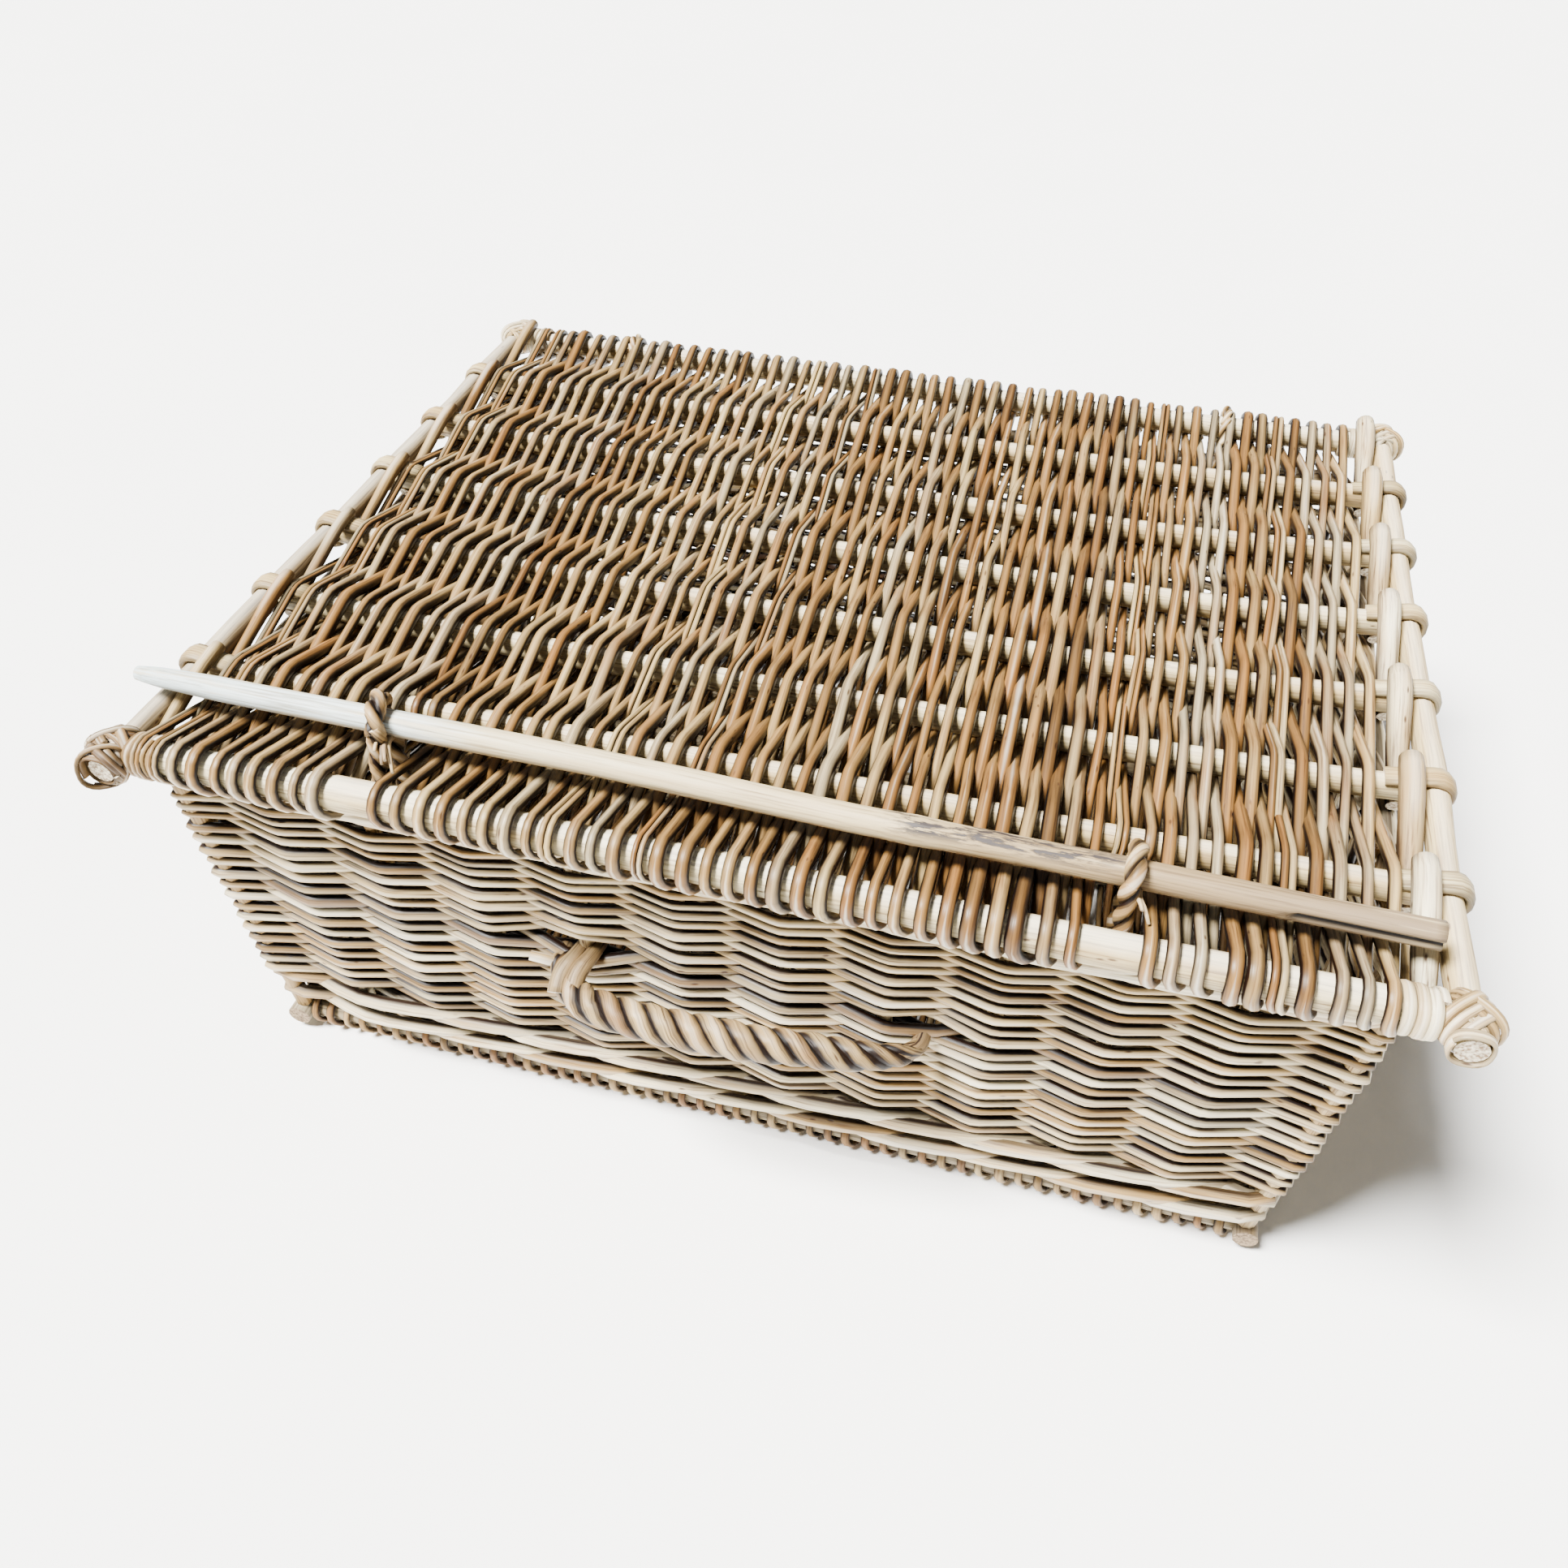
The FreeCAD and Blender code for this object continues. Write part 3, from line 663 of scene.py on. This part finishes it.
def make_bindings(sticks):
    for place, i in (("front", 0), ("back", LID_STICKS - 1)):
        y, z, radius = sticks[i]
        for sign, name in ((-1, "left"), (1, "right")):
            node = f"corner_binding_{place}_{name}"
            centre = np.array([lid_x + sign * lid_side_x, y, z])
            outward = -Y if place == "front" else Y
            brown = name == "left" and place == "front"
            skein = Rods()
            # rounds on the cross stick just inside the side stick
            for k in range(3):
                at = centre - X * sign * (12.5 + 5.4 * k) * MM
                band(skein, at, Y, Z, radius + 1.3 * MM, radius + 1.3 * MM, 5.4 * MM, 1.9 * MM,
                     rng.uniform(0, 6), 1.1, 3.0 * MM * sign, rng.normal(0, 0.12))
            # bands that cross over the joint of the two sticks
            for k in range(6):
                slant = 1 if k % 2 else -1
                across = unit(X + slant * Y * 0.9)
                aside = unit(Y - slant * X * 0.9)
                at = centre + aside * (k // 2 - 1) * 4.6 * MM + outward * 1.5 * MM
                grow = (0.2 + 0.3 * k) * MM
                band(skein, at, across, Z, 10.8 * MM + grow, side_radius + 1.4 * MM + grow, 5.2 * MM,
                     1.7 * MM, rng.uniform(0, 6), 1.1, rng.normal(0, 1.5) * MM, rng.normal(0, 0.12))
            # rounds on the side stick on either side of the joint
            for k in (-1, 1):
                at = centre + outward * (5 + 8.5 * k) * MM
                band(skein, at, X, Z, side_radius + 1.4 * MM, side_radius + 1.4 * MM, 5.6 * MM,
                     1.8 * MM, rng.uniform(0, 6), 1.2, rng.normal(0, 3) * MM, rng.normal(0, 0.12))
            if brown:
                for k in range(4):
                    at = centre + outward * (3 + 3.0 * k) * MM
                    tilt = unit(X + Y * rng.normal(0, 0.5))
                    band(skein, at, tilt, unit(Z + Y * rng.normal(0, 0.4)), 11.0 * MM, 10.4 * MM,
                         4.2 * MM, 2.0 * MM, rng.uniform(0, 6), 1.25, 2 * MM, rng.normal(-0.1, 0.15))
            skein.build(node + "_skein", "lid", [node], "twisted_willow",
                        skein_brown if brown else edge_willow)


# ---- basket walls ----
def outside(z):
    """Half width and half depth of the wall's outer face at a height."""
    return -border_low[:2] - FLARE * (border_high[2] - z) / border_high[2]


def stake_ring(z):
    """All stakes in order round the basket at a height: places, outward directions, side."""
    half = outside(z) - WALL_HALF
    corner = half * [(-1, -1), (1, -1), (1, 1), (-1, 1)]
    outward = np.array([(0.0, -1.0), (1.0, 0.0), (0.0, 1.0), (-1.0, 0.0)])
    spots, normals, sides = [], [], []
    for s in range(4):
        bays = SIDE_BAYS if s % 2 else FRONT_BAYS
        a, b = corner[s], corner[(s + 1) % 4]
        for i in range(bays):
            spots.append(a + (b - a) * i / bays)
            n = outward[s]
            if i == 0:
                n = n + outward[s - 1]
                n = n / np.linalg.norm(n) * 1.15
            normals.append(n)
            sides.append(s)
    return np.array(spots), np.array(normals), sides


# middle, half width and push of each opening that the handle's ends pass through
HOLES = [(core_low[0] + 14 * MM, core_high[2] + 3 * MM, 24 * MM, 6.5 * MM),
         (core_high[0] - 8 * MM, core_high[2] - 3 * MM, 20 * MM, 4.5 * MM)]


def parted(path):
    """Opens the front wall's rows where the handle's ends pass through."""
    path = path.copy()
    on_front = path[:, 1] < -190 * MM
    for x, z, half_width, push in HOLES:
        dx, dz = path[:, 0] - x, path[:, 2] - z
        lift = push * np.exp(-(dx / half_width) ** 2) * np.exp(-(dz / (17 * MM)) ** 2)
        path[:, 2] += np.where(on_front, np.sign(dz) * lift, 0)
    return path


def ring_path(first, last, z_at, offset_at):
    """Knees of a weaver from stake first to stake last, counted round the ring."""
    knees = []
    for k in range(first, last + 1):
        z = z_at(k)
        spots, normals, _ = stake_ring(z)
        i = k % RING
        knees.append([*(spots[i] + normals[i] * offset_at(k)), z])
    return np.array(knees)


def out_of_wall(path):
    """Outward directions, and 1 on the wall's outer face, -1 on its inner face."""
    half_x, half_y = outside(wall_bottom)
    rise = path[:, 2] - wall_bottom
    slope_x, slope_y = FLARE / (220 * MM)
    out_x = np.abs(path[:, 0]) - half_x - rise * slope_x
    out_y = np.abs(path[:, 1]) - half_y - rise * slope_y
    depth = np.maximum(out_x, out_y) + WALL_HALF
    at_end = (out_x > out_y)[:, None]
    outward = np.where(at_end, X * np.sign(path[:, :1]), Y * np.sign(path[:, 1:2]))
    return outward, np.clip(depth / (5.5 * MM), -1, 1)


def build_sides(pieces, label, node, slot, willow):
    """One piece for each side of the basket."""
    for rods, name in zip(pieces, SIDE_NAMES):
        rods.build(label.format(name), "basket", [node + name], slot, willow)


def wall_rows():
    """Heights and rod radii of the rows; the last rows under the border are finer."""
    rows = []
    z = wall_bottom + 2.4 * MM
    while z < wall_top - 1.5 * MM:
        fine = np.clip((z - (wall_top - TOP_ROWS)) / (12 * MM), 0, 1)
        radius = WALL_ROD * (1 - fine) + TOP_ROD * fine
        rows.append((z, radius))
        z += radius * ROW_STEP
    return rows


def make_walls():
    """Randing: each rod passes in front of one stake and behind the next."""
    pieces = [Rods() for _ in range(4)]
    side_of = stake_ring(wall_bottom)[2]
    for row, (z_row, radius) in enumerate(wall_rows()):
        waves = wander(RING, 0.55 * MM, 14)
        waves[-2:] = waves[:2]
        k = 2 * int(rng.integers(0, RING // 2)) + (row + 1) % 2
        end = k + RING
        while k < end:
            length = 2 * int(rng.integers(5, 10))
            last = min(k + length, end)
            r = radius * rng.uniform(0.86, 1.14)

            def z_at(i):
                return z_row + waves[i % RING]

            def offset_at(i):
                side = 1 if (i + row) % 2 == 0 else -1
                return side * (STAKE + r * 0.98)

            knees = ring_path(k, last, z_at, offset_at)
            path = parted(divide(round_corners(knees, 4.0 * MM), 20 * MM))
            n = len(path)
            taper = np.linspace(1.08, 0.86, n) if rng.uniform() < 0.5 else np.linspace(0.86, 1.08, n)
            # outward and over set the painted shade on the rods' flanks and on the faces hidden behind
            # the stakes
            outward, over = out_of_wall(path)
            pieces[side_of[k % RING]].add(path, r * taper * (1 + wander(n, 0.04, 12)), Z,
                                          tone=rng.normal(-0.02, 0.18) + wander(n, 0.13, 7),
                                          crown=outward, groove=1.4, over=over)
            k = last
    build_sides(pieces, "wall_weaving_{}", "wall_weave_", "woven_willow", wall_willow)


def wale(z_low, z_high, rounds, strands, radius, proud, slope):
    """Rods that pass in front of strands - 1 stakes and behind one, each a stake further on."""
    pieces = [Rods() for _ in range(4)]
    side_of = stake_ring(wall_bottom)[2]
    height = (z_high - z_low) / rounds
    for storey in range(rounds):
        for phase in range(strands):
            k, end = phase, RING - RING % strands + phase
            while k < end:
                last = min(k + strands * int(rng.integers(2, 5)), end)
                r = radius * rng.uniform(0.93, 1.07)

                def step_of(i):
                    return (i - phase) % strands

                def z_at(i):
                    step = step_of(i)
                    rise = -0.1 if step == 0 else step / (strands - 1) - 0.5
                    return z_low + height * (storey + 0.5) + rise * slope

                def offset_at(i):
                    if step_of(i) == 0:
                        return -(STAKE + r * 0.9)
                    return STAKE + r * 0.9 + proud

                knees = ring_path(k, last, z_at, offset_at)
                path = divide(round_corners(knees, 15 * MM), 16 * MM)
                # outward and over set the painted shade on the rods' flanks and on the faces hidden
                # behind the stakes
                outward, over = out_of_wall(path)
                pieces[side_of[k % RING]].add(path, r * (1 + wander(len(path), 0.04, 9)), Z, 10,
                                              tone=rng.normal(0, 0.1), crown=outward, groove=0.95,
                                              over=over)
                k = last
    return pieces


def make_edges():
    waling = wale(waling_low[2] - 1 * MM, wall_bottom, rounds=2, strands=3, radius=WALING_ROD,
                  proud=0.6 * MM, slope=9.5 * MM)
    border = wale(border_low[2], border_high[2] - 0.5 * MM, rounds=1, strands=4,
                  radius=BORDER_ROD, proud=0.0, slope=7.5 * MM)
    build_sides(waling, "waling_rods_{}", "waling_", "border_willow", edge_willow)
    build_sides(border, "border_rods_{}", "border_", "border_willow", edge_willow)


def make_stakes():
    pieces = [Rods() for _ in range(4)]
    corner = Rods()
    z0, z1, steps = waling_low[2] - 4 * MM, border_high[2] - 3 * MM, 10
    foot, _, sides = stake_ring(z0)
    head, _, _ = stake_ring(z1)
    for i, side in enumerate(sides):
        is_corner = i == 0 or sides[i - 1] != side
        path = stick_path((*foot[i], z0), (*head[i], z1), steps, 0.3 * MM)
        rods = corner if is_corner else pieces[side]
        r = CORNER_STAKE if is_corner else STAKE
        rods.add(path, knotty(steps, r, 0.03, 5), X, 10, tone=0.0 if is_corner else -0.15)
    build_sides(pieces, "stakes_{}_wood", "stakes_", "willow_sticks", edge_willow)
    corner.build("corner_stakes_wood", "basket", ["corner_stakes"], "willow_sticks", edge_willow)


def make_base():
    low, high = corners("base_weave")
    stick_low, stick_high = corners("base_sticks")
    z = (low[2] + high[2]) / 2 + 0.4 * MM
    r = size("base_sticks")[2] / 2
    ys = np.linspace(stick_low[1] + r, stick_high[1] - r, BASE_STICKS)
    steps = 24
    weave = Rods()
    woven_panel(weave, [(y, z, r) for y in ys], 0.0, high[0], BASE_PITCH, BASE_ROD, level, sides=6,
                step=40 * MM, upper=-0.3, lower=0.0)
    weave.build("base_weaving", "basket", ["base_weave"], "woven_willow", base_willow)
    wood = Rods()
    for y in ys:
        path = stick_path((low[0] - 4 * MM, y, z), (high[0] + 4 * MM, y, z), steps, 0.5 * MM)
        wood.add(path, knotty(steps, r), Z, 10)
    wood.build("base_sticks_wood", "basket", ["base_sticks"], "willow_sticks", bark_willow, worn_end)
    ends = Rods()
    low, high = corners("base_side_sticks")
    r = (high[2] - low[2]) / 2
    for x in (low[0] + r, high[0] - r):
        path = stick_path((x, low[1], z), (x, high[1], z), steps, 0.3 * MM)
        ends.add(path, knotty(steps, r, 0.04), Z, 12, tone=-0.25)
    ends.build("base_side_sticks_wood", "basket", ["base_side_sticks"], "willow_sticks",
               bark_willow, worn_end)


# ---- loops, closing rod and handle ----
def twist(rods, path, strands, strand_radius, reach, pitch, hand=1, start=0.0, tone=0.0, sides=10,
          swell=1.0, groove=0.9):
    """Strands wound round a path."""
    along = np.concatenate([[0], np.cumsum(np.linalg.norm(np.diff(path, axis=0), axis=1))])
    side = carried(path)
    over = np.cross(tangents(path), side)
    for s in range(strands):
        angle = start + hand * 2 * math.pi * along / pitch + 2 * math.pi * s / strands
        around = np.cos(angle)[:, None] * side + np.sin(angle)[:, None] * over
        spiral = path + np.reshape(reach * swell, (-1, 1)) * around
        n = len(spiral)
        outward = unit(around)
        across = np.cross(tangents(spiral), outward)
        radius = strand_radius * swell * (1 + wander(n, 0.05, 8))
        shade = tone + rng.normal(0, 0.07) + wander(n, 0.1, 7)
        # the strands get painted shade on their flanks and on the side against the core, and a painted
        # highlight outward
        rods.add(spiral, radius, across, sides, 1.08, 0.95, shade, crown=outward, groove=groove)


def loop_path(x, low, high, bend, steps=18, skew=0.0):
    """Loop round two centres (y, z) whose ends overlap; skew slants it along x."""
    low, high = np.array(low), np.array(high)
    along = unit(high - low)
    side = np.array([-along[1], along[0]])
    angle = np.linspace(0, math.pi, steps)
    top = [high + bend * (np.cos(a) * side + np.sin(a) * along) for a in angle]
    foot = [low + bend * (-np.cos(a) * side - np.sin(a) * along) for a in angle]
    ring = np.array(top + foot)
    path = np.stack([np.full(len(ring), x), ring[:, 0], ring[:, 1]], 1)
    reach = (path[:, 1] - path[:, 1].mean()) / bend
    path[:, 0] -= skew * reach * np.clip((path[:, 2] - low[1]) / (high[1] - low[1]), 0, 1)
    path = np.concatenate([path, path[:3]])
    return divide(path, 3.0 * MM)


def make_hasp_loop(sign, name):
    node = "hasp_loop_" + name
    low, high = corners(node)
    x = (low[0] + high[0]) / 2
    share = (x - rod_left[0]) / (rod_right[0] - rod_left[0])
    held = (rod_left + (rod_right - rod_left) * share)[1:]
    bend = rod_radius + 4.2 * MM
    foot = (low[1] + high[1]) / 2 - 2 * MM
    reach, skew, tails = (2.2 * MM, 3.5 * MM, 4) if sign < 0 else (1.9 * MM, -0.8 * MM, 2)
    rope = Rods()
    path = loop_path(x, (foot, low[2] + bend + 4 * MM), held, bend, skew=skew)
    twist(rope, path, 2, 2.8 * MM, reach, 25 * MM, sign, start=0.6, tone=-0.05)
    # cut tails that lie in front of the rod
    for k in range(tails):
        start = np.array([x + (2 + 1.5 * k) * MM, held[0] - 9 * MM, lid_z + 15 * MM])
        end = start + np.array([(3 + 2.2 * k) * MM, -(9 + 2 * k) * MM, (2 - 5 * (k % 2)) * MM])
        mid = (start + end) / 2 + Z * 2 * MM
        tail = round_corners([start + Y * 6 * MM, start, mid, end], 4 * MM)
        rope.add(tail, np.linspace(1.4, 0.8, len(tail)) * MM, sides=6, tone=0.1)
    rope.build(node + "_twist", "basket", [node], "twisted_willow", loop_willow)


def make_hinge_loop(sign, name):
    node = "hinge_loop_" + name
    low, high = corners(node)
    bend = back_radius + 3.8 * MM
    rope = Rods()
    path = loop_path((low[0] + high[0]) / 2, (low[1] + bend + 3 * MM, low[2] + bend + 3 * MM),
                     (lid_back_y, lid_z), bend)
    twist(rope, path, 2, 2.0 * MM, 1.5 * MM, 22 * MM, sign, tone=0.1, sides=8)
    rope.build(node + "_twist", "basket", [node], "twisted_willow", loop_willow)


def make_loops():
    for sign, name in ((-1, "left"), (1, "right")):
        make_hasp_loop(sign, name)
        make_hinge_loop(sign, name)


def rod_material():
    """Peeled and bleached on the left, cream in the middle, grey bark on the right."""
    n = Nodes("weathered_rod")
    grain = n.attribute("grain", "Vector")
    split = n.new("SeparateXYZ", Vector=n.place())
    x = n.math("ADD", n.math("MULTIPLY", split.outputs[0], 1.0 / 0.6), 0.5)
    ragged = n.noise(n.stretch(grain, (30, 260, 260)), 4.0)
    x = n.math("ADD", x, n.math("MULTIPLY", n.math("SUBTRACT", ragged, 0.5), 0.09))
    base = n.ramp(x, (0.0, linear(190, 204, 206)), (0.24, linear(206, 214, 210)),
                  (0.30, linear(200, 186, 150)), (0.60, linear(190, 170, 128)),
                  (0.66, linear(160, 138, 100)), (0.80, linear(136, 114, 80)),
                  (1.0, linear(122, 104, 80)))
    fibre = n.noise(n.stretch(grain, (18, 700, 700)), 4.0, 0.62)
    base = n.mix(n.ramp(fibre, (0.34, 0.75), (0.52, 0.0)), base, linear(150, 134, 110), "MULTIPLY")
    scrape = n.noise(n.stretch(grain, (9, 240, 240)), 3.0)
    base = n.mix(n.ramp(scrape, (0.52, 0.0), (0.6, 0.6)), base, linear(196, 176, 136))
    # the blackened strip lies on the upper back side
    up = n.math("SUBTRACT", split.outputs[2], float(rod_left[2]) + 1.5 * MM)
    band = n.math("MULTIPLY", n.ramp(x, (0.61, 0.0), (0.63, 1.0), (0.755, 1.0), (0.79, 0.0)),
                  n.ramp(n.math("MULTIPLY", up, 260.0), (0.0, 0.0), (0.8, 1.0)))
    flake = n.noise(n.stretch(grain, (60, 420, 420)), 5.0, 0.7)
    black = n.math("MULTIPLY", band, n.ramp(flake, (0.46, 0.0), (0.54, 1.0)))
    base = n.mix(black, base, linear(46, 38, 36))
    # painted shade inside the split: the rod's tone darkens it towards near black
    base = n.mix(n.math("MULTIPLY", n.attribute("tone"), -1.0), base, linear(22, 18, 16))
    n.paint(base, n.ramp(fibre, (0.3, 0.7), (0.7, 0.5)))
    n.bump(n.math("ADD", fibre, n.math("MULTIPLY", black, -0.8)), 0.6, 0.4 * MM)
    return n.material


def make_closing_rod():
    steps, sides = 130, 32
    share = np.linspace(0, 1, steps)
    path = rod_left + (rod_right - rod_left) * share[:, None]
    bow = np.sin(share * math.pi)
    path[:, 1] += wander(steps, 0.8 * MM, 6) * bow
    angle = np.arange(sides) * (2 * math.pi / sides)
    radius = np.interp(share, [0, 0.02, 0.075, 0.3, 0.62, 0.645, 0.67, 1.0],
                       np.array([3.6, 5.0, 6.1, 6.4, 6.3, 6.9, 6.3, 6.2]) * MM)
    radius = radius * (1 + wander(steps, 0.015, 16))
    ring = np.repeat(radius[:, None], sides, 1)
    ring *= 1 + 0.02 * np.sin(2 * angle + 1.0)[None]
    # the split in the right end, low on its front: cut in, and painted near black as shade
    gap = np.abs((angle - math.radians(176) + math.pi) % (2 * math.pi) - math.pi)
    deep = np.clip((share - 0.9) / 0.005, 0, 1)[:, None] * np.exp(-(gap / 0.3) ** 2)[None]
    ring *= 1 - 0.5 * deep
    tone = -np.clip(1.8 * deep, 0, 1)
    rods = Rods()
    rods.add(path, ring, Y, sides, tone=tone, kind=0.5)
    rods.build("closing_rod_wood", "closing_rod", ["closing_rod"], "weathered_rod", rod_material())


def handle_path():
    """The bow's middle line: out of the wall, round, and across."""
    radius, stub = 5 * MM, 13 * MM
    left, right = core_low[0] + radius, core_high[0] - radius - 6 * MM
    wall_y, front_y = core_high[1], core_low[1] + radius
    z0, z1 = core_high[2] - radius, core_low[2] + radius
    share = np.interp(np.linspace(0, 1, 9), [0, 1], [0.09, 0.91])
    nearer = np.interp(share, [0.09, 0.25, 0.5, 0.7, 0.91], np.array([4, 0, 1, 4, 9]) * MM)
    bow = [(left + (right - left) * s, front_y + n, z1 + 0.8 * MM * (2 * s - 1))
           for s, n in zip(share, nearer)]
    knees = [(left, wall_y, z0), (left, wall_y - stub, z0 - 1 * MM), *bow,
             (right, wall_y - stub, z0 - 6 * MM), (right, wall_y, z0 - 5 * MM)]
    path = round_corners(np.array(knees), 9 * MM)
    return divide(round_corners(path, 4 * MM), 3.2 * MM)


def make_handle():
    path = handle_path()
    core = Rods()
    core.add(path, 4.2 * MM, None, 10, tone=-0.2)
    core.build("handle_core_wood", "front_handle", ["handle_core"], "handle_willow", handle_willow)
    rope = Rods()
    wind_handle(rope, path)
    add_handle_ends(rope, path[0])
    rope.build("handle_rope_strands", "front_handle", ["handle_rope"], "handle_willow", handle_willow)


def wind_handle(rope, path):
    """Three strands over the bow, full in the middle and thin at both ends."""
    out = core_high[1] - path[:, 1]
    keep = np.nonzero(out > 7 * MM)[0]
    stretch = path[keep[0]:keep[-1] + 1]
    along = np.linspace(0, 1, len(stretch))
    swell = np.interp(along, [0, 0.06, 0.16, 0.45, 0.78, 0.92, 1], [0.6, 0.8, 1, 1.04, 0.9, 0.62, 0.42])
    shade = np.interp(along, [0, 0.5, 1], [-0.16, -0.26, -0.6])
    twist(rope, stretch, 3, HANDLE_STRAND, HANDLE_TWIST, HANDLE_PITCH, start=0.4, tone=shade,
          sides=14, swell=swell, groove=1.9)


def add_handle_ends(rope, left_end):
    """Two strands that come over the left bend, and a short cut stub beside them."""
    for k, (over, rise) in enumerate(((9, 6.5), (17, 8.0))):
        knees = np.array([(over, 6, rise - 4), (over, -9, rise + 0.5), (over - 5, -19, rise - 3.0),
                          (over - 4, -28, rise - 8.5)]) * MM + left_end
        strand = round_corners(round_corners(knees, 6 * MM), 3 * MM)
        rope.add(strand, np.linspace(3.3, 4.6, len(strand)) * MM, X, 12, 1.15, 0.9, tone=-0.1 * k,
                 crown=-Y, groove=0.5)
    stub = np.array([(4, -2, -1), (-6, -3.5, 0.5), (-15, -5, 3)]) * MM + left_end - Y * 8 * MM
    rope.add(stub, np.array([2.4, 2.8, 2.6]) * MM, Z, 10, tone=0.3, crown=-Y, groove=0.4)


# ---- stage ----
SKY_COLOUR, SKY_STRENGTH = (0.95, 0.98, 1.0, 1), 0.2
SUN_COLOUR, SUN_STRENGTH, SUN_SPREAD = (1.0, 0.985, 0.95), 25.0, math.radians(20)
SUN_DIRECTION = (0.5, 0.28, -1.0)
CAMERA_PLACE = (0.1222, -0.5907, 0.6362)
CAMERA_DOWN, CAMERA_LEFT, CAMERA_LEAN = np.radians([42.94, 14.53, 0.52]).tolist()
SENSOR_WIDTH, LENS = 36.0, 29.55  # mm


def make_stage():
    bpy.ops.mesh.primitive_plane_add(size=12, location=(0, 0, 0))
    floor = bpy.context.object
    floor.name = "studio_floor"
    n = Nodes("pale_floor")
    speckle = n.noise(n.place(), 2.0, scale=3.0)
    n.paint(n.ramp(speckle, (0.3, linear(244, 244, 243)), (0.7, linear(247, 247, 246))), 0.9)
    floor.data.materials.append(n.material)

    world = bpy.data.worlds.new("studio")
    bpy.context.scene.world = world
    world.use_nodes = True
    sky = world.node_tree.nodes["Background"].inputs
    sky["Color"].default_value, sky["Strength"].default_value = SKY_COLOUR, SKY_STRENGTH

    key = bpy.data.lights.new("key", "SUN")
    key.energy, key.angle, key.color = SUN_STRENGTH, SUN_SPREAD, SUN_COLOUR
    lamp = bpy.data.objects.new("key", key)
    bpy.context.scene.collection.objects.link(lamp)
    lamp.rotation_euler = mathutils.Vector(SUN_DIRECTION).to_track_quat("-Z", "Y").to_euler()


def make_camera():
    """The place and the angles that match the photo."""
    data = bpy.data.cameras.new("camera")
    data.sensor_width, data.lens = SENSOR_WIDTH, LENS
    camera = bpy.data.objects.new("camera", data)
    bpy.context.scene.collection.objects.link(camera)
    camera.location = CAMERA_PLACE
    turn_up = mathutils.Matrix.Rotation(math.pi / 2 - CAMERA_DOWN, 4, "X")
    turn_left = mathutils.Matrix.Rotation(CAMERA_LEFT, 4, "Z")
    lean = mathutils.Matrix.Rotation(CAMERA_LEAN, 4, "Z")
    camera.rotation_euler = (turn_left @ turn_up @ lean).to_euler()
    bpy.context.scene.camera = camera


make_camera()
make_stage()
make_lid()
make_walls()
make_edges()
make_stakes()
make_base()
make_loops()
make_closing_rod()
make_handle()
